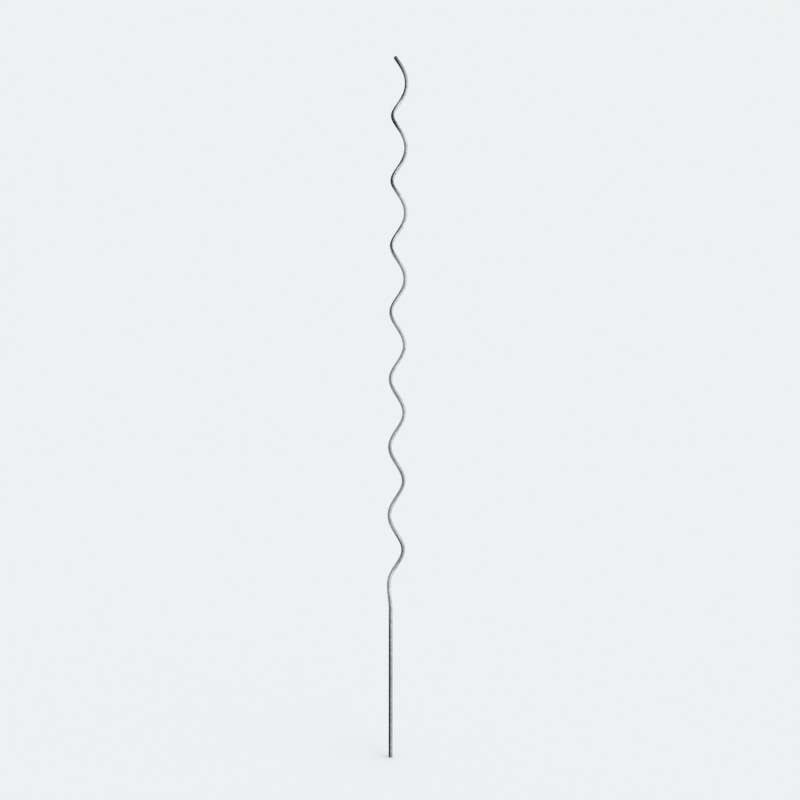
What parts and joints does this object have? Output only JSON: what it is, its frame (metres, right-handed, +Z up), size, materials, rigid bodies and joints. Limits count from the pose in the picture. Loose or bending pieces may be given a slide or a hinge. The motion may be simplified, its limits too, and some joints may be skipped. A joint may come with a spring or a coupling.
{
  "type": "spiral tomato stake",
  "caption": "Galvanised steel rod wound into an open left-hand spiral above a straight leg that is pushed into the soil, to carry a climbing plant.",
  "frame": {"origin": "centre of the flat at the bottom end of the straight leg", "axes": "+Z up along the leg, +X to the right in the picture's view, which looks along +Y. The coil's axis stands to the right of the leg and behind it."},
  "size_m": [0.0465, 0.038, 1.5],
  "materials": {
    "galvanised_steel": "hot-dip galvanised: dull mid-grey zinc with a soft sheen and faint spangle"
  },
  "bodies": {
    "root": {"spiral_rod": "galvanised_steel"}
  },
  "joints": []
}
